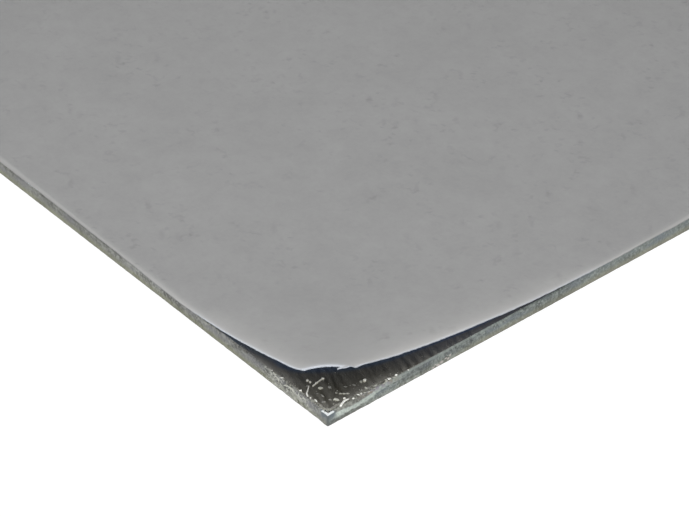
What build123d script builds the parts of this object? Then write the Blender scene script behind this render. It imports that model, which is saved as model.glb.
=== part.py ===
from build123d import *
from math import cos, degrees, hypot, radians, sin
import os

os.makedirs("parts", exist_ok=True)

# All sizes are in millimetres. The sheet lies flat, mirror face up, its underside at Z = 0 and
# its centre on the Z axis. The masking film lifts off the corner at +X, -Y.

# Driving sizes of the acrylic sheet
sheet_length = 300.0
sheet_width = 200.0
sheet_thickness = 3.0
arris = 0.25  # the sawn edges are eased this much, top and bottom

# Driving sizes of the masking film
film_thickness = 0.2
peel_front = 45.0  # the film is stuck down again this far from the corner along the front edge
peel_side = 78.0  # and this far from it along the side edge
lift_radius = 90.0  # the loose film curls up gently from the line where it lets go
tip_radius = 28.0  # and more tightly near its tip
tip_curl_length = 10.0  # the tighter curl's length, measured back along the film from its tip

# Driving sizes of the torn tip, measured on the film as if it lay flat
tear_front = 6.9  # the tear meets the front edge this far from the corner
tear_side = 5.2  # and runs this far from it beside the side edge
tear_radius = 4.6
barb_width = 0.9  # a strand is left at the side edge
barb_length = 1.4

# The line where the film lets go, and the way across it towards the corner
corner = Vector(sheet_length / 2, -sheet_width / 2)
peel_start = corner - Vector(peel_front, 0)
peel_end = corner + Vector(0, peel_side)
peel_line_length = hypot(peel_front, peel_side)
across = Vector(peel_side, -peel_front) * (1 / peel_line_length)
loose_length = peel_front * peel_side / peel_line_length  # from the line to the untorn tip
lift_length = loose_length - tip_curl_length
lift_turn = lift_length / lift_radius  # radians
tip_turn = tip_curl_length / tip_radius  # radians


def curl_run(unrolled):
    """Level distance from the peel line to a point of the film's underside, for the point's
    distance from that line along the film: one gentle arc, then a tighter one."""
    turn = min(unrolled, lift_length) / lift_radius
    run = lift_radius * sin(turn)
    if unrolled > lift_length:
        full_turn = turn + (unrolled - lift_length) / tip_radius
        run += tip_radius * (sin(full_turn) - sin(turn))
    return run


def on_curl(from_corner_front, from_corner_side):
    """Plan position of a point of the curled film, for the point's distances from the untorn
    corner along the front and side edges: it is drawn back across the peel line."""
    flat = corner + Vector(-from_corner_front, from_corner_side)
    unrolled = (flat - peel_start).dot(across)
    return flat - across * (unrolled - curl_run(unrolled))


def edge_points(start, end, count, place):
    """Plan positions at even steps along one edge of the curled film."""
    return [place(start + (end - start) * step / (count - 1)) for step in range(count)]


# Mirror sheet: one piece of acrylic, silvered and painted on its underside, with eased arrises
with BuildPart() as mirror_sheet:
    Box(
        sheet_length,
        sheet_width,
        sheet_thickness,
        align=(Align.CENTER, Align.CENTER, Align.MIN),
    )
    chamfer(faces().group_by(Axis.Z)[0].edges() + faces().group_by(Axis.Z)[-1].edges(), arris)

mirror_sheet.part.label = "mirror_sheet"
export_step(mirror_sheet.part, "parts/mirror_sheet.step")

# Loose corner of the film: its curl runs along the peel line and is trimmed to the film's plan
curl_plane = Plane(
    origin=(peel_start.X, peel_start.Y, sheet_thickness),
    x_dir=across,
    z_dir=across.cross(Vector(0, 0, 1)),
)
trim_height = lift_radius + tip_radius

with BuildPart() as loose_corner:
    with BuildSketch(curl_plane):
        with BuildLine():
            lower_lift = JernArc((0, 0), (1, 0), lift_radius, degrees(lift_turn))
            lower_tip = JernArc(lower_lift @ 1, lower_lift % 1, tip_radius, degrees(tip_turn))
            upper_lift = JernArc(
                (0, film_thickness), (1, 0), lift_radius - film_thickness, degrees(lift_turn)
            )
            upper_tip = JernArc(
                upper_lift @ 1, upper_lift % 1, tip_radius - film_thickness, degrees(tip_turn)
            )
            Line(lower_lift @ 0, upper_lift @ 0)
            Line(lower_tip @ 1, upper_tip @ 1)
        make_face()
    extrude(amount=peel_line_length, both=True)
    with BuildSketch(Plane.XY):
        with BuildLine():
            front_edge = Spline(
                *edge_points(peel_front, tear_front, 8, lambda along: on_curl(along, 0))
            )
            side_edge = Spline(
                *edge_points(
                    tear_side - barb_length, peel_side, 10, lambda along: on_curl(0, along)
                )
            )
            Line(side_edge @ 1, front_edge @ 0)
            tear_start = on_curl(tear_front, tear_side - tear_radius)
            tear_end = on_curl(tear_front - tear_radius, tear_side)
            tear_middle = on_curl(
                tear_front - tear_radius * (1 - cos(radians(45))),
                tear_side - tear_radius * (1 - sin(radians(45))),
            )
            Line(front_edge @ 1, tear_start)
            ThreePointArc(tear_start, tear_middle, tear_end)
            Polyline(tear_end, on_curl(barb_width, tear_side), side_edge @ 0)
        make_face()
    extrude(amount=trim_height, mode=Mode.INTERSECT)

# Masking film: stuck down flat up to the peel line, with the loose corner carried on from there
with BuildPart() as protective_film:
    with BuildSketch(Plane.XY.offset(sheet_thickness)):
        with BuildLine():
            Polyline(
                peel_start,
                peel_end,
                (sheet_length / 2, sheet_width / 2),
                (-sheet_length / 2, sheet_width / 2),
                (-sheet_length / 2, -sheet_width / 2),
                close=True,
            )
        make_face()
    extrude(amount=film_thickness)
    add(loose_corner.part)

protective_film.part.label = "protective_film"
export_step(protective_film.part, "parts/protective_film.step")

rise = protective_film.part.bounding_box().max.Z - sheet_thickness
print(f"the loose corner stands {rise:.1f} mm above the sheet")
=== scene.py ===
"""Looks of an acrylic mirror sheet: sawn edges, bared mirror, curled and torn masking film, swarf."""

import logging
import math
from dataclasses import dataclass
from enum import Enum, IntEnum
from typing import Any, NamedTuple, Optional, Sequence, Union

import bmesh
import bpy
import numpy as np
from mathutils import Matrix, Vector


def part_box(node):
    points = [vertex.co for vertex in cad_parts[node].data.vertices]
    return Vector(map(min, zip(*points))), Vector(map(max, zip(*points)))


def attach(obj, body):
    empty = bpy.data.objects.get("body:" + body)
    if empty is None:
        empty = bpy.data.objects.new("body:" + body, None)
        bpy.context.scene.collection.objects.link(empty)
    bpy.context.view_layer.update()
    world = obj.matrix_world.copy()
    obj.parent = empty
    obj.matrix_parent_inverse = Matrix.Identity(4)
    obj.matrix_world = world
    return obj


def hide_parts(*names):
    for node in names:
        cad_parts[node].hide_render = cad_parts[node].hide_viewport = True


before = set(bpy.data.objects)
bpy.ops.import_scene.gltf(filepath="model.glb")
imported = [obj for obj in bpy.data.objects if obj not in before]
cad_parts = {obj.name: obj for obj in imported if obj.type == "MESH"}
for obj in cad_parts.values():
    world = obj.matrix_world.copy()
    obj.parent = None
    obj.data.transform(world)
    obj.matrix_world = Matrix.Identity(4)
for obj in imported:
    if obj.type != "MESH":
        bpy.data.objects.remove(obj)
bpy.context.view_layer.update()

LOG = logging.getLogger("mirror_sheet")
MM = 0.001
BODY = "root"
SHEET_NODE = "mirror_sheet"
FILM_NODE = "protective_film"
SHEET_SLOT = "mirrored_acrylic"
FILM_SLOT = "masking_film"
ACRYLIC_IOR = 1.49

Number = Union[float, "Wire"]
Numbers = Union[float, np.ndarray]
Colour = tuple[float, float, float]


# Numbers over a surface


def ease(values: Numbers) -> Numbers:
    """Smooth step of values held between 0 and 1: 3 t squared less 2 t cubed."""
    held = np.clip(values, 0.0, 1.0)
    return held * held * (3.0 - 2.0 * held)


def bell(values: np.ndarray, middle: float, width: float) -> np.ndarray:
    """Bell curve: the exponential of minus the square of the distance from the middle in widths."""
    return np.exp(-(((values - middle) / width) ** 2))


class Grain:
    """Seeded value noise: random numbers on a square lattice, blended smoothly between its points."""

    def __init__(self, seed: int, size: int = 512) -> None:
        """Draws the lattice.

        Args:
            seed: seed of the random numbers, so that each run gives the same grain.
            size: lattice points along a side, after which the grain repeats.
        """
        self.size = size
        self.table = np.random.default_rng(seed).uniform(-1.0, 1.0, (size, size))

    def at(self, u: Numbers, v: Numbers, cell: float) -> Numbers:
        """Noise between -1 and 1: the four lattice values round a point, weighted by eased distances.

        Args:
            u: first coordinate of each point.
            v: second coordinate of each point, or one number for a walk along a line.
            cell: spacing of the lattice, in the same unit.

        Returns:
            One number for each point.
        """
        x, y = np.asarray(u) / cell, np.asarray(v) / cell
        column, row = np.floor(x).astype(int), np.floor(y).astype(int)
        across, up = ease(x - column), ease(y - row)
        c0, c1 = column % self.size, (column + 1) % self.size
        r0, r1 = row % self.size, (row + 1) % self.size
        low = self.table[r0, c0] * (1 - across) + self.table[r0, c1] * across
        high = self.table[r1, c0] * (1 - across) + self.table[r1, c1] * across
        return low * (1 - up) + high * up

    def layered(self, u: Numbers, v: Numbers, cell: float, layers: int = 3) -> np.ndarray:
        """Sum of noises, each with half the cell and half the height of the one before.

        Args:
            u: first coordinate of each point.
            v: second coordinate of each point, or one number for a walk along a line.
            cell: spacing of the coarsest lattice, in the same unit.
            layers: how many noises are added.

        Returns:
            One number for each point.
        """
        total = np.zeros(np.broadcast(u, v).shape)
        for layer in range(layers):
            total += self.at(u, v, cell / 2**layer) / 2**layer
        return total


# Shader nodes written as arithmetic


class Wire:
    """An output of a shader node. Python arithmetic on one that carries a number adds Math nodes."""

    def __init__(self, tree: "NodeTree", socket: bpy.types.NodeSocket) -> None:
        """Wraps one output socket of a node tree."""
        self.tree = tree
        self.socket = socket

    def _math(self, operation: str, first: Number, second: Number) -> "Wire":
        """Adds one Math node for an operation on two numbers."""
        return self.tree.node("ShaderNodeMath", {"operation": operation}, {0: first, 1: second})

    def __add__(self, other: Number) -> "Wire":
        """Sum."""
        return self._math("ADD", self, other)

    __radd__ = __add__

    def __sub__(self, other: Number) -> "Wire":
        """Difference."""
        return self._math("SUBTRACT", self, other)

    def __rsub__(self, other: Number) -> "Wire":
        """Difference from a plain number."""
        return self._math("SUBTRACT", other, self)

    def __mul__(self, other: Number) -> "Wire":
        """Product."""
        return self._math("MULTIPLY", self, other)

    __rmul__ = __mul__

    def __truediv__(self, other: Number) -> "Wire":
        """Quotient."""
        return self._math("DIVIDE", self, other)

    def __abs__(self) -> "Wire":
        """The number without its sign."""
        return self._math("ABSOLUTE", self, 0.0)

    def at_least(self, other: Number) -> "Wire":
        """The larger of two numbers."""
        return self._math("MAXIMUM", self, other)

    def at_most(self, other: Number) -> "Wire":
        """The smaller of two numbers."""
        return self._math("MINIMUM", self, other)

    def rise(self, start: float, end: float) -> "Wire":
        """Smooth step of the number, falling instead of rising where end is below start.

        Args:
            start: where the step stands at 0.
            end: where it stands at 1.

        Returns:
            A number from 0 to 1.
        """
        if end < start:
            return 1.0 - self.rise(end, start)
        return self.tree.node(
            "ShaderNodeMapRange",
            {"interpolation_type": "SMOOTHSTEP"},
            {"Value": self, "From Min": start, "From Max": end},
        )


class NodeTree:
    """Nodes of one material or world, with a method for any node and a few for patterns."""

    def __init__(self, owner: Union[bpy.types.Material, bpy.types.World], output: str) -> None:
        """Empties the owner's node tree and gives it an output node.

        Args:
            owner: a new material or world.
            output: type name of its output node.
        """
        owner.use_nodes = True
        self.owner = owner
        self.nodes = owner.node_tree.nodes
        self.links = owner.node_tree.links
        self.nodes.clear()
        self.output = self.nodes.new(output)

    def _feed(self, socket: bpy.types.NodeSocket, value: Any) -> None:
        """Links a wire to an input, or sets a plain value on it.

        Args:
            socket: the input.
            value: a wire, a number, a vector or a colour without its alpha.
        """
        if isinstance(value, Wire):
            self.links.new(value.socket, socket)
        elif isinstance(value, tuple) and len(value) == 3 and socket.type == "RGBA":
            socket.default_value = (*value, 1.0)
        else:
            socket.default_value = value

    def node(
        self,
        kind: str,
        settings: Optional[dict[str, Any]] = None,
        inputs: Optional[dict[Union[str, int], Any]] = None,
        output: Union[str, int] = 0,
    ) -> Wire:
        """Adds one node of any type.

        Args:
            kind: the node's type name.
            settings: its own properties by name, set first.
            inputs: values or wires of its input sockets, by name or number.
            output: name or number of the output that is handed back.

        Returns:
            The chosen output.
        """
        made = self.nodes.new(kind)
        for key, value in (settings or {}).items():
            setattr(made, key, value)
        for key, value in (inputs or {}).items():
            self._feed(made.inputs[key], value)
        return Wire(self, made.outputs[output])

    def place(self) -> Wire:
        """Object coordinates, in metres."""
        return self.node("ShaderNodeTexCoord", output="Object")

    def axes(self, vector: Wire) -> tuple[Wire, ...]:
        """The three parts of a vector."""
        parts = self.node("ShaderNodeSeparateXYZ", inputs={0: vector})
        return tuple(Wire(self, part) for part in parts.socket.node.outputs)

    def vector(self, x: Number, y: Number, z: Number) -> Wire:
        """A vector put together from three numbers."""
        return self.node("ShaderNodeCombineXYZ", inputs={0: x, 1: y, 2: z})

    def attribute(self, name: str) -> Wire:
        """A number stored on the mesh."""
        return self.node("ShaderNodeAttribute", {"attribute_name": name}, output="Fac")

    def noise(
        self, vector: Wire, cell: float, detail: float = 2.0, rough: float = 0.5, output: str = "Fac"
    ) -> Wire:
        """Cloudy noise with features about one cell wide.

        Args:
            vector: place, in metres.
            cell: width of its features, in metres.
            detail: how many finer layers lie over it.
            rough: height of each layer as a share of the one before.
            output: "Fac" for a number, or "Color" for three at once.

        Returns:
            Noise that is mostly between 0 and 1.
        """
        return self.node(
            "ShaderNodeTexNoise",
            inputs={"Vector": vector, "Scale": 1.0 / cell, "Detail": detail, "Roughness": rough},
            output=output,
        )

    def scatter(self, vector: Wire, cell: float) -> tuple[Wire, Wire]:
        """Points strewn over a plane, about one to a cell.

        Args:
            vector: place on the plane, in metres.
            cell: mean spacing of the points.

        Returns:
            Distance to the nearest point as a share of the cell, and that point's own chance number.
        """
        near = self.node(
            "ShaderNodeTexVoronoi",
            {"voronoi_dimensions": "2D"},
            {"Vector": vector, "Scale": 1.0 / cell, "Randomness": 1.0},
            output="Distance",
        )
        tone = Wire(self, near.socket.node.outputs["Color"])
        return near, self.axes(tone)[0]

    def mix(self, share: Number, first: Any, second: Any) -> Wire:
        """Blend of two colours.

        Args:
            share: 0 for the first and 1 for the second.
            first: a wire or a colour.
            second: a wire or a colour.

        Returns:
            The blended colour.
        """
        made = self.nodes.new("ShaderNodeMix")
        made.data_type = "RGBA"
        self._feed(made.inputs["Factor"], share)
        colours = [socket for socket in made.inputs if socket.type == "RGBA"]
        self._feed(colours[0], first)
        self._feed(colours[1], second)
        return Wire(self, next(socket for socket in made.outputs if socket.type == "RGBA"))

    def scaled(self, colour: Any, factor: Number) -> Wire:
        """A colour times a number."""
        return self.node("ShaderNodeVectorMath", {"operation": "SCALE"}, {0: colour, "Scale": factor})

    def relief(self, height: Number, depth: float, strength: float = 1.0) -> Wire:
        """Surface normal tilted by a height field of the given depth in metres."""
        inputs = {"Height": height, "Distance": depth, "Strength": strength}
        return self.node("ShaderNodeBump", inputs=inputs)

    def seen_directly(self) -> Wire:
        """Tells the rays that are seen, mirrored or let through from those that only light.

        Returns:
            1 on the first kind and 0 on the second.
        """
        seen = self.node("ShaderNodeLightPath", output="Is Camera Ray")
        outputs = seen.socket.node.outputs
        seen = seen.at_least(Wire(self, outputs["Is Glossy Ray"]))
        return seen.at_least(Wire(self, outputs["Is Transmission Ray"]))

    def end(self, shader: Wire) -> None:
        """Feeds the output node with a shader."""
        self.links.new(shader.socket, self.output.inputs["Surface"])


class FinishTree(NodeTree):
    """The node tree of one material."""

    def __init__(self, name: str) -> None:
        """Makes an empty material of this name."""
        super().__init__(bpy.data.materials.new(name), "ShaderNodeOutputMaterial")

    def surface(self, **sockets: Any) -> bpy.types.Material:
        """Ends the tree with one Principled shader.

        Args:
            **sockets: its inputs by name, with _ for each blank.

        Returns:
            The finished material.
        """
        inputs = {name.replace("_", " "): value for name, value in sockets.items()}
        self.end(self.node("ShaderNodeBsdfPrincipled", inputs={"IOR": ACRYLIC_IOR, **inputs}))
        return self.owner


# Finishes


@dataclass(frozen=True)
class MaskingFilmFinish:
    """Matte grey masking film: faintly mottled, with dusty scuffs, paler where stretching whitens it and
    where painted light lightens its curl.
    """

    grey: Colour = (0.302, 0.302, 0.302)
    dust: Colour = (0.165, 0.165, 0.165)
    stretch_white_and_painted_light: Colour = (0.76, 0.75, 0.725)
    cut_white: Colour = (0.74, 0.78, 0.84)
    mottle_cell: float = 8.5 * MM
    scuff_cells: tuple[float, float, float] = (1.9 * MM, 2.9 * MM, 3.8 * MM)
    scuff_turns: tuple[float, float, float] = (0.35, 1.35, 2.5)
    scuff_stretches: tuple[float, float, float] = (2.0, 1.5, 2.6)

    def scuffs(self, tree: FinishTree, place: Wire) -> Wire:
        """Dark dashes and bent strokes.

        The dashes are points scattered in three drawn-out and turned copies of the plane. The
        strokes run where one noise crosses its middle, and another noise breaks them up.

        Args:
            tree: the finish's nodes.
            place: place on the film, in metres.

        Returns:
            How dark the scuffs are at a place.
        """
        warp = tree.noise(place, 1.1 * MM, 2.0, 0.6, output="Color")
        bent = tree.node(
            "ShaderNodeVectorMath",
            {"operation": "MULTIPLY_ADD"},
            {0: warp, 1: (1.6 * MM, 1.6 * MM, 0.0), 2: place},
        )
        total = None
        for cell, turn, stretch in zip(self.scuff_cells, self.scuff_turns, self.scuff_stretches):
            turned = tree.node(
                "ShaderNodeMapping",
                {"vector_type": "TEXTURE"},
                {"Vector": bent, "Rotation": (0.0, 0.0, turn), "Scale": (stretch, 1.0, 1.0)},
            )
            near, chance = tree.scatter(turned, cell)
            dash = near.rise(0.27, 0.02) * chance.rise(0.56, 1.0) * 0.60
            total = dash if total is None else total + dash
        swirl = tree.noise(place, 4.6 * MM, 2.5, 0.55)
        breaks = tree.noise(place, 3.1 * MM, 2.0, 0.55).rise(0.51, 0.63)
        return total + abs(swirl - 0.5).rise(0.066, 0.004) * breaks * 0.40

    def make(self) -> bpy.types.Material:
        """Builds the material of the film's upper face.

        Returns:
            The material.
        """
        tree = FinishTree("masking_film_face")
        place = tree.place()
        mottle = tree.noise(place, self.mottle_cell, 4.0, 0.88)
        cloud = tree.noise(place, 30.0 * MM, 1.0, 0.5)
        body = tree.scaled(self.grey, 1.0 + (mottle - 0.5) * 0.34 + (cloud - 0.5) * 0.10)
        clusters = tree.noise(place, 9.0 * MM, 2.0, 0.6).rise(0.44, 0.64)
        specks = self.scuffs(tree, place) * (clusters * 0.80 + 0.20)
        colour = tree.mix((specks * 0.50).at_most(1.0), body, self.dust)
        # paler where stretching whitens the film, and where the share that grows with the curl's turn
        # paints light on the curl
        colour = tree.mix(tree.attribute("stretch"), colour, self.stretch_white_and_painted_light)
        colour = tree.mix(tree.attribute("cut"), colour, self.cut_white)
        grain = tree.noise(place, 0.35 * MM, 2.0, 0.5)
        return tree.surface(
            Base_Color=colour,
            Roughness=0.50 + (mottle - 0.5) * 0.20,
            Normal=tree.relief(grain + mottle * 2.0, 0.01 * MM, 0.35),
        )


@dataclass(frozen=True)
class FilmBackFinish:
    """Dark adhesive side of the masking film, with painted light on it: a faint glow and a tint, bluish
    where it lies low.
    """

    slate: Colour = (0.040, 0.050, 0.072)
    umber: Colour = (0.046, 0.045, 0.039)
    cool_painted_glow: Colour = (0.028, 0.029, 0.037)
    warm_painted_glow: Colour = (0.0105, 0.0095, 0.0070)

    def make(self) -> bpy.types.Material:
        """Builds the material of the film's lower face.

        Returns:
            The material.
        """
        tree = FinishTree("masking_film_back")
        place = tree.place()
        smear = tree.noise(place, 3.0 * MM, 3.0, 0.6)
        _, _, z = tree.axes(place)
        # painted light: the tint's change with height, slate low and umber high, stands in for light on the
        # film's back
        colour = tree.mix(z.rise(3.4 * MM, 6.5 * MM), self.slate, self.umber)
        return tree.surface(
            Base_Color=tree.scaled(colour, 0.75 + smear * 0.5),
            # painted glow, cooler where the film lies low, standing in for light on its back
            Emission_Color=tree.mix(z.rise(7.0 * MM, 4.6 * MM), self.warm_painted_glow, self.cool_painted_glow),
            Emission_Strength=1.0,
            Roughness=0.42 + smear * 0.2,
            Normal=tree.relief(smear, 0.02 * MM, 0.4),
        )


@dataclass(frozen=True)
class FilmRimFinish:
    """Pale cut edge of the film, whitened where the cut or tear has stretched it."""

    pale: Colour = (0.62, 0.67, 0.75)
    dull: Colour = (0.36, 0.365, 0.365)

    def make(self) -> bpy.types.Material:
        """Builds the material of the film's cut and torn edge.

        Returns:
            The material.
        """
        tree = FinishTree("masking_film_rim")
        place = tree.place()
        broken = tree.noise(place, 0.8 * MM, 2.0, 0.6).rise(0.35, 0.7)
        share = tree.attribute("cut") * (0.75 + broken * 0.5)
        return tree.surface(
            Base_Color=tree.mix(share.at_most(1.0), self.dull, self.pale),
            Roughness=0.55,
            Normal=tree.relief(broken, 0.02 * MM, 0.5),
        )


@dataclass(frozen=True)
class MirrorFinish:
    """Silvered face: a clear mirror with streaks of haze, frosted and littered at the cut edges, with
    painted reflection and highlight.
    """

    corner: tuple[float, float]
    silver: Colour = (0.83, 0.815, 0.755)
    painted_reflection_blue: Colour = (0.55, 0.72, 1.0)
    far_painted_reflection: Colour = (0.68, 0.78, 0.85)
    haze: Colour = (0.125, 0.119, 0.101)
    frost: Colour = (0.205, 0.205, 0.178)
    pit: Colour = (0.075, 0.073, 0.062)
    bright: Colour = (0.52, 0.53, 0.47)
    halo: Colour = (0.40, 0.41, 0.315)
    tip_highlight: Colour = (0.97, 1.0, 1.0)
    rib_spacing: float = 1.8 * MM
    rib_lean: float = 0.26

    def streaks(self, tree: FinishTree, place: Wire, inward: Wire) -> Wire:
        """Streaks of haze: a noise drawn out along X, and ribs that are the sine of a bent distance.

        Args:
            tree: the finish's nodes.
            place: place on the sheet, in metres.
            inward: sum of the distances from both near edges.

        Returns:
            Haze from 0 to 1, calmer near the corner.
        """
        x, y, _ = tree.axes(place)
        across = y + x * self.rib_lean
        drawn = tree.vector(x * 0.14, across, 0.0)
        streaks = tree.noise(drawn, 1.15 * MM, 0.6, 0.4).rise(0.32, 0.68)
        bend = tree.noise(place, 5.0 * MM, 1.0, 0.5) * 8.0
        phase = across * (2.0 * math.pi / self.rib_spacing) + bend
        ribs = tree.node("ShaderNodeMath", {"operation": "SINE"}, {0: phase}) * 0.5 + 0.5
        streaks = streaks * 0.52 + ribs * 0.48
        calm = inward.rise(19.0 * MM, 8.0 * MM) * 0.60
        return streaks + (0.04 - streaks) * calm

    def tint(self, tree: FinishTree, from_side: Wire, from_front: Wire) -> Wire:
        """Colour of the silver, with a painted reflection: cooler where the lifted film's shaded back is
        mirrored in it.

        The film's torn rim is mirrored along a curve on which the product of the distances from
        both edges is even. The curve bends towards the corner in its middle and at its far end.

        Args:
            tree: the finish's nodes.
            from_side: distance from the side edge.
            from_front: distance from the front edge.

        Returns:
            The colour.
        """
        dip = abs(from_side - 15.5 * MM).rise(5.5 * MM, 1.0 * MM) * (20.0 * MM * MM)
        dip = dip + from_front.rise(28.0 * MM, 42.0 * MM) * (24.0 * MM * MM)
        covered = (from_side + 1.0 * MM) * (from_front + 4.5 * MM) + dip
        # painted reflection: past the curve the silver takes the cool tint that the film's shaded back
        # gives
        painted_reflection_share = covered.rise(126.0 * MM * MM, 154.0 * MM * MM)
        shaded = tree.mix(from_side.rise(17.0 * MM, 24.0 * MM), self.painted_reflection_blue, self.far_painted_reflection)
        return tree.mix(painted_reflection_share, self.silver, shaded)

    @staticmethod
    def frosting(from_side: Wire, from_front: Wire, ragged: Wire) -> Wire:
        """Frosted bands along both edges, each of a stepped width and with a ragged inner side.

        Args:
            from_side: distance from the side edge.
            from_front: distance from the front edge.
            ragged: noise either side of 0 that shifts the bands' inner sides.

        Returns:
            1 on the bands and 0 off them.
        """
        width = 0.16 * MM + from_side.rise(19.5 * MM, 15.5 * MM) * (0.36 * MM)
        width = width + from_side.rise(9.5 * MM, 6.5 * MM) * (0.28 * MM)
        front_band = (from_front / width - ragged * 1.6).rise(1.30, 0.65)
        width = 0.42 * MM + from_front.rise(20.0 * MM, 12.0 * MM) * (0.66 * MM)
        side_band = (from_side / width - ragged * 1.3).rise(1.30, 0.70)
        return front_band.at_least(side_band * from_front.rise(36.0 * MM, 18.0 * MM))

    @staticmethod
    def grime(from_side: Wire, from_front: Wire) -> Wire:
        """Thin dirt beside the bands: one film along the front edge and one along the side edge.

        Args:
            from_side: distance from the side edge.
            from_front: distance from the front edge.

        Returns:
            Share of the mirror that the dirt covers.
        """
        front_film = from_side.rise(38.0 * MM, 28.0 * MM) * from_side.rise(14.0 * MM, 19.0 * MM) * 0.12
        front_film = front_film + abs(from_side - 17.5 * MM).rise(9.5 * MM, 3.0 * MM) * 0.16
        side_film = from_side.rise(3.8 * MM, 0.6 * MM) * from_front.rise(20.0 * MM, 15.0 * MM)
        side_film = side_film * from_front.rise(3.0 * MM, 9.0 * MM) * 0.22
        return front_film * from_front.rise(3.6 * MM, 1.6 * MM) + side_film

    def make(self) -> bpy.types.Material:
        """Builds the material of the mirror face: silver with its painted reflection, then dirt, frost, a
        pale glow and a painted highlight at the tip.

        Returns:
            The material.
        """
        tree = FinishTree("mirror_face")
        place = tree.place()
        x, y, _ = tree.axes(place)
        from_side, from_front = self.corner[0] - x, y - self.corner[1]
        inward = from_side + from_front
        cloud = tree.noise(place, 2.2 * MM, 2.0, 0.6)
        ragged = tree.noise(place, 1.3 * MM, 3.0, 0.6) - 0.5
        beads = tree.noise(place, 0.50 * MM, 1.5, 0.5).rise(0.55, 0.64)
        frosted = self.frosting(from_side, from_front, ragged)

        haze = self.streaks(tree, place, inward) * 0.76 + cloud * 0.08
        haze = haze * (0.37 - from_front.rise(19.0 * MM, 25.0 * MM) * 0.09)
        dull = (haze + self.grime(from_side, from_front) + frosted * 0.9).at_most(1.0)
        mottled = tree.mix(cloud.rise(0.40, 0.60), self.pit, self.frost)
        colour = tree.mix(frosted, self.haze, mottled)
        colour = tree.mix(dull, self.tint(tree, from_side, from_front), colour)
        colour = tree.mix(beads * frosted * 0.60, colour, self.bright)

        glow = inward.rise(6.6 * MM, 4.4 * MM) * (0.05 + beads * 0.07)
        glow = glow + inward.rise(3.1 * MM, 2.0 * MM) * (0.13 + beads * 0.42)
        dull = (dull + glow).at_most(1.0)
        colour = tree.mix(glow, colour, self.halo)
        # painted highlight: a white, mirror-bright V along both edges at the corner's tip
        tip = (from_side.at_most(from_front) + ragged * (0.3 * MM)).rise(0.80 * MM, 0.66 * MM)
        tip = tip * inward.rise(2.25 * MM, 1.95 * MM)
        colour = tree.mix(tip, colour, self.tip_highlight)
        return tree.surface(
            Base_Color=colour,
            Metallic=(1.0 - dull).at_least(tip),
            Roughness=0.06 + dull * (1.0 - tip) * 0.35,
            Normal=tree.relief(cloud + beads * frosted * 3.0, 0.02 * MM, 0.35),
        )


class ToneStretch(NamedTuple):
    """A stretch of an edge made darker or brighter; the dark ones high on the long edges, under the lifted
    film, are painted shade.

    Middle is its distance from the lifted corner, reach is half its length, and low is the height
    from which it starts, all in millimetres. Keep is the share of light that it keeps.
    """

    middle: float
    reach: float
    low: float
    keep: float


class EdgePattern(NamedTuple):
    """What the layers of a sawn edge share: two lengths in metres, and numbers from 0 to 1."""

    from_corner: Wire
    z: Wire
    near: Wire
    calm: Wire
    lighter: Wire
    marks: Wire
    blotch: Wire
    tint: Wire
    drift: Wire


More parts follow.
